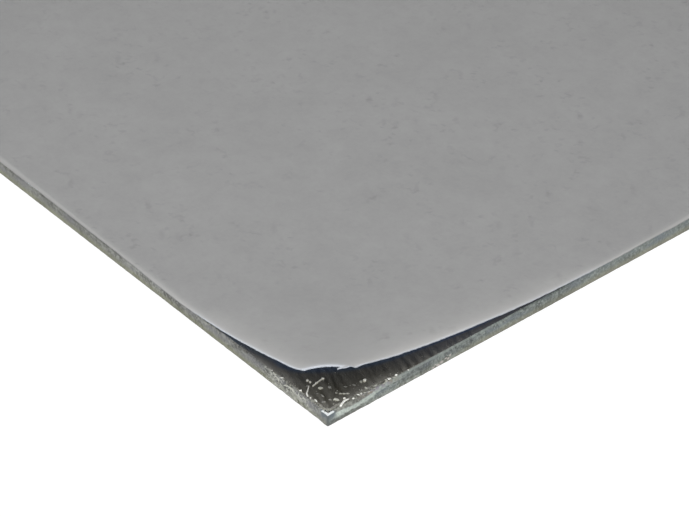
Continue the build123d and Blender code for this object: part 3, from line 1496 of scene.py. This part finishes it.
        # the turn term is painted light: it lightens the curled film as the light that it catches would
        stretch = stuck * np.exp(-edge / (0.50 * MM)) + 0.075 * (turn / turn.max())
        stretch += broad * loose * np.exp(-edge / (2.6 * MM))
        stretch += 0.16 * bell(along, 36 * MM, 11 * MM) * np.exp(-back / (0.8 * MM))
        return {"cut": np.clip(cut, 0, 1), "stretch": np.clip(stretch, 0, 1)}

    @staticmethod
    def loosened(unrolled: np.ndarray) -> np.ndarray:
        """Smooth step from 0 at the peel line to 1 at 6 mm past it."""
        return ease(unrolled / (6 * MM))

    @staticmethod
    def shell(rows: int, columns: int) -> tuple[np.ndarray, np.ndarray]:
        """Faces of a thin shell whose upper grid of points is numbered before its lower one.

        Args:
            rows: points down each grid.
            columns: points across it.

        Returns:
            Quads of the upper grid, the lower grid and the rim, and 0, 1 or 2 for each.
        """
        count = rows * columns
        top = grid_quads(rows, columns)
        grid = np.arange(count).reshape(rows, columns)
        loop = np.concatenate([grid[0, :], grid[1:, -1], grid[-1, -2::-1], grid[-2:0:-1, 0]])
        after = np.roll(loop, -1)
        wall = np.stack([loop, loop + count, after + count, after], axis=1)
        which = np.repeat([0, 1, 2], [len(top), len(top), len(wall)])
        return np.concatenate([top, top[:, ::-1] + count, wall]), which

    def build(self, finishes: Sequence[bpy.types.Material]) -> bpy.types.Object:
        """Makes the film's mesh.

        Every point of the trimmed flat film is drawn back across the peel line by its run and
        lifted by its rise. The upper face stands the film's thickness off the lower one along the
        curl's normal.

        Args:
            finishes: materials of the upper face, the lower face and the rim.

        Returns:
            The film's object.
        """
        flat = self.flat_points()
        rows, columns = flat.shape[:2]
        from_tear = self.to_tear(flat)
        moved = self.trim(flat, from_tear)

        back, along = self.corner[0] - flat[..., 0], flat[..., 1] - self.corner[1]
        edge = np.minimum(np.minimum(back, along), np.minimum(
            self.high.y - flat[..., 1], flat[..., 0] - self.low.x
        ))
        unrolled = (moved - self.peel_start) @ self.across
        run, rise, turn = self.curl(unrolled)
        plan = moved - self.across * (unrolled - run)[..., None]
        droop = (0.10 * MM + 0.14 * MM * bell(back, 50 * MM, 14 * MM)) * (1 - self.loosened(unrolled))
        droop *= ease(1 - edge / (0.35 * MM))
        ripple = 0.08 * MM * Grain(self.ripple_seed).layered(back, along, 14.0 * MM)
        ripple *= ease(unrolled / (20 * MM))
        sag = self.sag(back, along) * ease(unrolled / (8 * MM))
        lift = self.sheet_top + self.seat + rise - droop + ripple - sag
        lower = np.concatenate([plan, lift[..., None]], axis=2)
        tilt = -np.sin(turn)[..., None] * self.across
        upper = lower + np.concatenate([tilt, np.cos(turn)[..., None]], axis=2) * self.thickness

        points = np.concatenate([upper.reshape(-1, 3), lower.reshape(-1, 3)])
        faces, which = self.shell(rows, columns)
        if self.faces_down(points, faces[which == 0]):
            faces = faces[:, ::-1]
        fields = self.whitening(back, along, edge, from_tear, unrolled, turn)
        fields = {name: np.tile(values.ravel(), 2) for name, values in fields.items()}
        return make_piece(
            "protective_film_dressed", points, faces.tolist(), finishes, which, fields=fields
        )

    @staticmethod
    def faces_down(points: np.ndarray, quads: np.ndarray) -> bool:
        """True where the upper face's quads, taken as they are numbered, look down."""
        a, b, c = points[quads[:, 0]], points[quads[:, 1]], points[quads[:, 2]]
        return bool(np.cross(b - a, c - b)[:, 2].sum() < 0)


# Swarf


class Chip(NamedTuple):
    """One chip on the mirror: millimetres from the corner, its length and width, and its turn."""

    back: float
    along: float
    length: float
    width: float
    turn: float = 50.0


class Fleck(NamedTuple):
    """One fleck on the side edge: millimetres from the corner and up, its length and height."""

    along: float
    up: float
    length: float
    height: float


class Shaving(NamedTuple):
    """One shaving: half its width, and places back, along and above the face, in millimetres."""

    name: str
    radius: float
    path: tuple[tuple[float, float, float], ...]


BRIGHT_CHIPS = (
    Chip(10.5, 3.6, 0.62, 0.42, 100), Chip(9.85, 3.75, 0.46, 0.36, 80), Chip(9.05, 6.3, 0.60, 0.44),
    Chip(8.85, 4.5, 0.66, 0.30, 70), Chip(0.42, 6.85, 0.70, 0.46, 100), Chip(0.75, 8.35, 0.74, 0.34, 30),
    Chip(0.62, 9.0, 0.80, 0.40, 120), Chip(3.35, 12.2, 0.78, 0.62, 100), Chip(0.48, 16.1, 0.92, 0.78),
    Chip(0.5, 17.95, 0.70, 0.46, 90), Chip(0.2, 20.8, 0.50, 0.36), Chip(1.72, 5.62, 0.62, 0.28, 60),
    Chip(8.95, 0.6, 0.66, 0.42), Chip(14.3, 0.3, 0.85, 0.34), Chip(17.4, 0.3, 0.36, 0.28),
    Chip(4.62, 0.90, 1.05, 0.42, 175), Chip(5.95, 0.62, 0.36, 0.30),
)
SMEARED_CHIPS = (
    Chip(3.95, 5.5, 0.62, 0.20), Chip(3.3, 5.95, 0.80, 0.35), Chip(2.8, 6.5, 0.76, 0.35),
    Chip(2.4, 7.05, 0.70, 0.34), Chip(2.55, 4.05, 1.10, 0.70, 40), Chip(2.2, 4.3, 0.80, 0.58, 20),
    Chip(7.12, 4.11, 1.05, 0.68), Chip(1.39, 10.9, 1.0, 0.46, 0), Chip(0.45, 9.8, 0.70, 0.34),
    Chip(3.45, 11.4, 0.72, 0.58, 60), Chip(0.78, 12.75, 1.15, 0.42, 88), Chip(0.35, 15.2, 1.0, 0.50, 100),
    Chip(0.15, 14.5, 0.9, 0.40, 95), Chip(0.28, 17.3, 1.05, 0.36, 70), Chip(0.75, 15.5, 0.6, 0.4, 30),
    Chip(0.2, 12.0, 0.6, 0.3, 80), Chip(0.1, 10.6, 0.6, 0.3, 95),
)
DULL_CLOTS = (
    Chip(6.09, 5.57, 0.85, 0.75), Chip(5.04, 2.90, 1.1, 0.32, 10), Chip(6.2, 2.5, 0.5, 0.20, 10),
    Chip(3.49, 1.8, 0.85, 0.38), Chip(1.0, 11.2, 1.1, 0.6, 10), Chip(4.3, 8.1, 0.7, 0.5),
    Chip(9.2, 2.6, 0.8, 0.6), Chip(3.6, 9.7, 0.8, 0.6), Chip(1.3, 9.7, 0.6, 0.5), Chip(10.1, 0.4, 0.5, 0.4),
    Chip(3.18, 3.24, 0.72, 0.55),
)
SIDE_FLECKS = (
    Fleck(27.3, 0.45, 0.9, 0.45), Fleck(27.9, 0.80, 0.6, 0.30), Fleck(28.7, 0.40, 1.1, 0.60),
    Fleck(29.5, 0.70, 0.9, 0.60), Fleck(30.6, 1.05, 0.7, 0.50), Fleck(31.3, 0.60, 0.8, 0.75),
    Fleck(31.8, 1.25, 0.7, 0.50), Fleck(22.6, 0.6, 0.5, 0.3),
)
SHAVINGS = (
    Shaving("shaving_straight", 0.115, ((8.5, 3.2, 0.12), (8.9, 5.2, 0.12), (9.1, 6.3, 0.12))),
    Shaving("shaving_curled", 0.14, ((9.0, 2.7, 0.12), (8.2, 1.8, 0.12), (7.5, 0.9, 0.12))),
    Shaving("shaving_bright", 0.19, ((7.5, 0.92, 0.3), (6.95, 0.6, 0.3), (6.4, 0.37, 0.25))),
    Shaving(
        "shaving_corner", 0.29,
        ((0.16, 3.25, 0.15), (0.5, 4.05, 0.3), (0.85, 5.05, 0.3), (0.75, 6.1, 0.2)),
    ),
)
MELTED_WORMS = (
    Shaving(
        "melted_arc", 0.25,
        ((13.4, -0.02, -1.05), (11.6, -0.02, -0.42), (10.4, -0.02, -0.6), (10.5, -0.02, -1.5)),
    ),
    Shaving(
        "melted_hook", 0.20,
        ((16.4, -0.02, -0.9), (15.4, -0.02, -0.4), (14.9, -0.02, -1.2), (15.6, -0.02, -1.6)),
    ),
    Shaving(
        "melted_wave", 0.20,
        ((8.9, -0.02, -0.3), (8.1, -0.02, -1.1), (7.4, -0.02, -0.5), (6.5, -0.02, -1.0)),
    ),
)


@dataclass
class Swarf:
    """Saw chips, clots of dust and shavings that lie on the bared mirror and its edges."""

    corner: tuple[float, float]
    sheet_top: float
    seed: int = 5
    around: int = 7
    rings: int = 3
    jitter: tuple[float, float] = (0.55, 1.25)
    seat: float = 0.6
    fleck_reach: float = 0.06 * MM
    front_crumbs: int = 70
    side_crumbs: int = 60
    stray_crumbs: int = 16
    shaving_steps: int = 29
    shaving_around: int = 8
    shaving_flatness: float = 0.6

    def lumps(
        self,
        name: str,
        centres: np.ndarray,
        sizes: np.ndarray,
        turns: np.ndarray,
        finish: bpy.types.Material,
    ) -> bpy.types.Object:
        """Rough lumps in one mesh, each a ball of a few rings, jittered, squashed and turned.

        Args:
            name: the piece's name.
            centres: x, y, z of each lump.
            sizes: half length, half width and half height of each.
            turns: angle of each about Z, in radians.
            finish: its material.

        Returns:
            The piece.
        """
        rng = np.random.default_rng(self.seed)
        count = len(centres)
        polar = np.pi * (np.arange(1, self.rings + 1) / (self.rings + 1))
        azimuth = 2 * np.pi * np.arange(self.around) / self.around
        ball = np.stack([
            np.outer(np.sin(polar), np.cos(azimuth)),
            np.outer(np.sin(polar), np.sin(azimuth)),
            np.outer(np.cos(polar), np.ones(self.around)),
        ], axis=2).reshape(-1, 3)
        ball = np.vstack([ball, [0, 0, 1], [0, 0, -1]])
        jitter = rng.uniform(*self.jitter, (count, len(ball), 1))
        shape = ball * jitter * sizes[:, None, :]
        cos, sin = np.cos(turns)[:, None], np.sin(turns)[:, None]
        turned = np.stack([
            shape[..., 0] * cos - shape[..., 1] * sin,
            shape[..., 0] * sin + shape[..., 1] * cos,
            shape[..., 2],
        ], axis=2)
        points = (turned + centres[:, None, :]).reshape(-1, 3)

        quads = grid_quads(self.rings, self.around, wrap=True)
        ring = np.arange(self.around)
        after = (ring + 1) % self.around
        top = len(ball) - 2
        last = (self.rings - 1) * self.around
        one = np.concatenate([
            quads[:, [0, 2, 1]],
            quads[:, [0, 3, 2]],
            np.stack([np.full(self.around, top), ring, after], axis=1),
            np.stack([np.full(self.around, top + 1), last + after, last + ring], axis=1),
        ])
        faces = (one + (np.arange(count) * len(ball))[:, None, None]).reshape(-1, 3)
        return make_piece(name, points, faces.tolist(), [finish], smooth=np.zeros(len(faces), bool))

    def lay(
        self, name: str, chips: np.ndarray, height: float, finish: bpy.types.Material
    ) -> bpy.types.Object:
        """Lays chips on the mirror as one joined mesh.

        Args:
            name: the piece's name.
            chips: back, along, length, width in metres and turn in degrees, one row a chip.
            height: height of a chip as a share of its width.
            finish: its material.

        Returns:
            The piece.
        """
        sizes = np.stack([chips[:, 2] / 2, chips[:, 3] / 2, chips[:, 3] / 2 * height], axis=1)
        centres = np.stack([
            self.corner[0] - chips[:, 0],
            self.corner[1] + chips[:, 1],
            self.sheet_top + sizes[:, 2] * self.seat,
        ], axis=1)
        return self.lumps(name, centres, sizes, np.radians(chips[:, 4]), finish)

    def press(
        self, name: str, flecks: Sequence[Fleck], finish: bpy.types.Material
    ) -> bpy.types.Object:
        """Presses thin flecks against the side edge as one joined mesh.

        Args:
            name: the piece's name.
            flecks: the flecks.
            finish: its material.

        Returns:
            The piece.
        """
        along, up, length, height = (np.array(flecks) * MM).T
        still = np.zeros(len(flecks))
        centres = np.stack([still + self.corner[0], self.corner[1] + along, up], axis=1)
        sizes = np.stack([still + self.fleck_reach, length / 2, height / 2], axis=1)
        return self.lumps(name, centres, sizes, still, finish)

    @staticmethod
    def placed(chips: Sequence[Chip]) -> np.ndarray:
        """The listed chips as rows of metres, with the turn left in degrees."""
        return np.array(chips) * np.array([MM, MM, MM, MM, 1.0])

    def crumbs(self) -> np.ndarray:
        """Random crumbs in bands along both edges, densest near the corner, and a few strays.

        Returns:
            Back, along, length and width in metres and turn in degrees, one row a crumb.
        """
        rng = np.random.default_rng(self.seed + 1)
        back = np.concatenate([
            rng.gamma(2.2, 3.4, self.front_crumbs),
            0.3 + np.abs(rng.normal(0.0, 0.6, self.side_crumbs)),
            rng.uniform(0.8, 11, self.stray_crumbs),
        ])
        along = np.concatenate([
            0.1 + np.abs(rng.normal(0.0, 0.4, self.front_crumbs)),
            rng.gamma(2.2, 5.0, self.side_crumbs),
            rng.uniform(0.8, 13, self.stray_crumbs),
        ])
        size = rng.uniform(0.12, 0.40, len(back)) ** 1.2
        rows = [back * MM, along * MM, size * MM, size * rng.uniform(0.5, 0.9, len(back)) * MM]
        return np.stack([*rows, rng.uniform(0, 180, len(back))], axis=1)

    def shaving(self, shaving: Shaving, finish: bpy.types.Material) -> bpy.types.Object:
        """A thin shaving: a small flattened ring carried along a smooth path and tapered at its ends.

        The path is the polynomial through its places, of third degree at most.

        Args:
            shaving: its name, half width and places.
            finish: its material.

        Returns:
            The shaving's object.
        """
        places = np.array(shaving.path) * MM
        places = np.array([*self.corner, self.sheet_top]) + places * np.array([-1.0, 1.0, 1.0])
        knots = np.linspace(0, 1, len(places))
        steps = np.linspace(0, 1, self.shaving_steps)
        degree = min(3, len(places) - 1)
        line = np.stack([
            np.polyval(np.polyfit(knots, places[:, axis], degree), steps) for axis in range(3)
        ], axis=1)
        ahead = np.gradient(line, axis=0)
        ahead /= np.linalg.norm(ahead, axis=1, keepdims=True)
        sideways = np.cross(ahead, [0.0, 0.0, 1.0])
        sideways /= np.linalg.norm(sideways, axis=1, keepdims=True)
        upward = np.cross(sideways, ahead) * self.shaving_flatness
        around = self.shaving_around
        angle = (2 * np.pi * np.arange(around) / around)[:, None]
        ring = sideways[:, None] * np.cos(angle) + upward[:, None] * np.sin(angle)
        uneven = 1 + 0.25 * Grain(self.seed).layered(steps, 0.0, 0.12)
        taper = (0.3 + 0.7 * np.sin(np.pi * steps) ** 0.5) * uneven * shaving.radius * MM
        points = (line[:, None, :] + taper[:, None, None] * ring).reshape(-1, 3)
        quads = grid_quads(len(steps), around, wrap=True)
        caps = [list(range(around)), [len(points) - 1 - i for i in range(around)]]
        piece = make_piece(shaving.name, points, [*quads.tolist(), *caps], [finish])
        turn_outwards(piece)
        return piece


def turn_outwards(piece: bpy.types.Object) -> None:
    """Turns a closed mesh's faces so that they point outwards.

    Args:
        piece: the piece whose mesh it is.
    """
    work = bmesh.new()
    work.from_mesh(piece.data)
    bmesh.ops.recalc_face_normals(work, faces=work.faces)
    work.to_mesh(piece.data)
    work.free()


# Studio


class Lamp(NamedTuple):
    """A square lamp: its place from the lifted corner, its side in metres and its power in watts."""

    name: str
    offset: tuple[float, float, float]
    size: float
    power: float


@dataclass(frozen=True)
class Studio:
    """Pale floor, soft lamps, white surroundings and the camera over the lifted corner."""

    corner: tuple[float, float, float]
    lens: float = 135.0
    sensor: float = 36.0
    clip_start: float = 10.0 * MM
    azimuth: float = 49.835
    elevation: float = 36.605
    camera_from_corner: tuple[float, float, float] = (0.293647, -0.243609, 0.323883)
    lamp_rows: tuple[Lamp, ...] = (
        Lamp("near_lamp", (0.06, -0.05, 0.42), 0.36, 1.10),
        Lamp("left_lamp", (-0.75, -0.10, 0.55), 0.50, 1.2),
        Lamp("right_lamp", (0.9, -0.1, 0.6), 0.5, 1.5),
    )
    surroundings_light: float = 0.42
    floor_size: float = 3.0
    floor_drop: float = 0.02 * MM
    floor_bounce: float = 0.80
    floor_shadow: float = 0.18
    floor_glow: float = 0.9

    def camera(self) -> None:
        """Sets up the camera: its back points at azimuth and elevation, its right side is level."""
        turn, tilt = math.radians(self.azimuth), math.radians(self.elevation)
        back = Vector((math.sin(turn) * math.cos(tilt), -math.cos(turn) * math.cos(tilt), math.sin(tilt)))
        right = Vector((math.cos(turn), math.sin(turn), 0.0))
        up = back.cross(right)
        data = bpy.data.cameras.new("corner_camera")
        data.lens = self.lens
        data.sensor_width = self.sensor
        data.clip_start = self.clip_start
        holder = bpy.data.objects.new("corner_camera", data)
        place = Vector(self.corner) + Vector(self.camera_from_corner)
        holder.matrix_world = Matrix.Translation(place) @ Matrix((right, up, back)).transposed().to_4x4()
        bpy.context.scene.collection.objects.link(holder)
        bpy.context.scene.camera = holder

    def world(self) -> None:
        """Even white surroundings: full white where seen or mirrored, softer where they light."""
        world = bpy.data.worlds.new("surroundings")
        tree = NodeTree(world, "ShaderNodeOutputWorld")
        levels = {"To Min": self.surroundings_light, "To Max": 1.0}
        strength = tree.node("ShaderNodeMapRange", inputs={"Value": tree.seen_directly(), **levels})
        tree.end(tree.node("ShaderNodeBackground", inputs={"Strength": strength}))
        bpy.context.scene.world = world

    def lamps(self) -> None:
        """A soft lamp close over the lifted corner and two farther ones from the sides."""
        for row in self.lamp_rows:
            data = bpy.data.lights.new(row.name, "AREA")
            data.shape = "SQUARE"
            data.size = row.size
            data.energy = row.power
            lamp = bpy.data.objects.new(row.name, data)
            offset = Vector(row.offset)
            lamp.location = Vector(self.corner) + offset
            lamp.rotation_euler = (-offset).to_track_quat("-Z", "Y").to_euler()
            bpy.context.scene.collection.objects.link(lamp)

    def floor(self) -> None:
        """A pale level floor that looks white and keeps a faint shadow of the sheet."""
        half = self.floor_size / 2
        points = np.array([(-half, -half, 0), (half, -half, 0), (half, half, 0), (-half, half, 0)])
        tree = FinishTree("pale_floor")
        bounce, shadow = [(level,) * 3 for level in (self.floor_bounce, self.floor_shadow)]
        plain = tree.node("ShaderNodeBsdfDiffuse", inputs={"Color": bounce})
        dim = tree.node("ShaderNodeBsdfDiffuse", inputs={"Color": shadow})
        white = {"Color": (1.0, 1.0, 1.0), "Strength": self.floor_glow}
        glow = tree.node("ShaderNodeEmission", inputs=white)
        lit = tree.node("ShaderNodeAddShader", inputs={0: dim, 1: glow})
        tree.end(tree.node("ShaderNodeMixShader", inputs={0: tree.seen_directly(), 1: plain, 2: lit}))
        piece = make_piece("pale_floor", points, [[0, 1, 2, 3]], [tree.owner])
        piece.data.transform(Matrix.Translation((0, 0, -self.floor_drop)))


def long_edge_finish(corner: tuple[float, float]) -> SawnEdgeFinish:
    """The front and back edges: warm and pale, with darker and lighter stretches, painted shade under the
    lifted film, and melted worms near the corner.

    Args:
        corner: x and y of the lifted corner.

    Returns:
        The finish.
    """
    return SawnEdgeFinish(
        name="sawn_long_edges",
        corner=corner,
        body=(0.425, 0.435, 0.400),
        near_body=(0.440, 0.450, 0.385),
        shade=(0.090, 0.092, 0.082),
        patch=(0.230, 0.232, 0.245),
        crumb=(0.72, 0.725, 0.66),
        foot=(0.315, 0.325, 0.190),
        tone_stretches=(
            ToneStretch(66.0, 20.0, 0.6, 1.10),
            ToneStretch(39.0, 13.0, 1.0, 1.02),
            ToneStretch(0.0, 9.0, -1.0, 1.07),
            ToneStretch(4.2, 3.2, 1.7, 1.18),
            ToneStretch(24.5, 7.5, 1.2, 0.90),
            ToneStretch(14.0, 3.4, 1.0, 1.05),
            # painted shade: the two dark stretches at the top, under the lifted film
            ToneStretch(7.6, 9.0, 2.25, 0.57),
            ToneStretch(24.0, 6.0, 2.35, 0.66),
        ),
        worms_far=0.18,
        worms_near=0.62,
        boldness=0.9,
        level=0.87,
        near_span=(24.0 * MM, 13.0 * MM),
        bevel=0.0,
    )


def short_edge_finish(corner: tuple[float, float]) -> SawnEdgeFinish:
    """The side edges: greener and darker, with the worn bevel near the corner.

    Args:
        corner: x and y of the lifted corner.

    Returns:
        The finish.
    """
    return SawnEdgeFinish(
        name="sawn_short_edges",
        corner=corner,
        body=(0.355, 0.402, 0.375),
        near_body=(0.340, 0.390, 0.372),
        shade=(0.060, 0.073, 0.072),
        patch=(0.145, 0.175, 0.195),
        crumb=(0.67, 0.74, 0.68),
        foot=(0.285, 0.280, 0.190),
        tone_stretches=(
            ToneStretch(3.6, 2.6, 1.0, 1.10),
            ToneStretch(9.0, 2.6, 0.9, 0.93),
            ToneStretch(16.5, 6.0, 0.3, 0.80),
            ToneStretch(22.3, 5.0, 0.3, 0.74),
            ToneStretch(31.0, 13.0, 0.4, 0.70),
            ToneStretch(57.0, 18.0, -1.0, 0.90),
            ToneStretch(90.0, 30.0, 2.2, 1.25),
        ),
        worms_far=0.18,
        worms_near=0.18,
        boldness=0.15,
        level=1.0,
        near_span=(45.0 * MM, 20.0 * MM),
        bevel=0.95,
    )


def scatter_swarf(swarf: Swarf) -> None:
    """Makes the swarf's finishes and lays its heaps, flecks, shavings and melted worms.

    Args:
        swarf: the swarf of the lifted corner.
    """
    white = SwarfFinish().make()
    smeared = SwarfFinish("melted_acrylic", (0.70, 0.705, 0.64), (0.50, 0.505, 0.45), 0.0, 0.04).make()
    crumb = DustFinish("saw_crumb", (0.42, 0.42, 0.375)).make()
    dull = DustFinish().make()
    fleck = DustFinish("side_fleck", (0.62, 0.575, 0.545)).make()
    heaps = (
        ("saw_chips", swarf.placed(BRIGHT_CHIPS), 0.75, white),
        ("smeared_chips", swarf.placed(SMEARED_CHIPS), 0.35, smeared),
        ("saw_crumbs", swarf.crumbs(), 0.6, crumb),
        ("dust_clots", swarf.placed(DULL_CLOTS), 0.25, dull),
    )
    for name, chips, height, finish in heaps:
        settle(swarf.lay(name, chips, height, finish), SHEET_SLOT)
    settle(swarf.press("side_flecks", SIDE_FLECKS, fleck), SHEET_SLOT)
    for shavings, finish in ((SHAVINGS, white), (MELTED_WORMS, smeared)):
        for shaving in shavings:
            settle(swarf.shaving(shaving, finish), SHEET_SLOT)


def main() -> None:
    """Builds the studio, the sheet, the film and the swarf, in that order."""
    logging.basicConfig(level=logging.INFO, format="%(name)s: %(message)s")
    bpy.context.scene.view_settings.view_transform = "Standard"
    sheet_low, sheet_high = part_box(SHEET_NODE)
    film_low, film_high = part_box(FILM_NODE)
    corner = (sheet_high.x, sheet_low.y)

    studio = Studio((*corner, sheet_low.z))
    studio.camera()
    studio.world()
    studio.lamps()
    studio.floor()

    coats = (
        MirrorFinish(corner), long_edge_finish(corner), short_edge_finish(corner), BackPaintFinish()
    )
    sheet = MirrorSheet(sheet_low, sheet_high)
    settle(sheet.build([coat.make() for coat in coats]), SHEET_SLOT, SHEET_NODE)

    film = MaskingFilm(film_low, film_high, sheet_high.z)
    faces = (MaskingFilmFinish(), FilmBackFinish(), FilmRimFinish())
    settle(film.build([face.make() for face in faces]), FILM_SLOT, FILM_NODE)

    scatter_swarf(Swarf(corner, sheet_high.z))


if __name__ == "__main__":
    main()
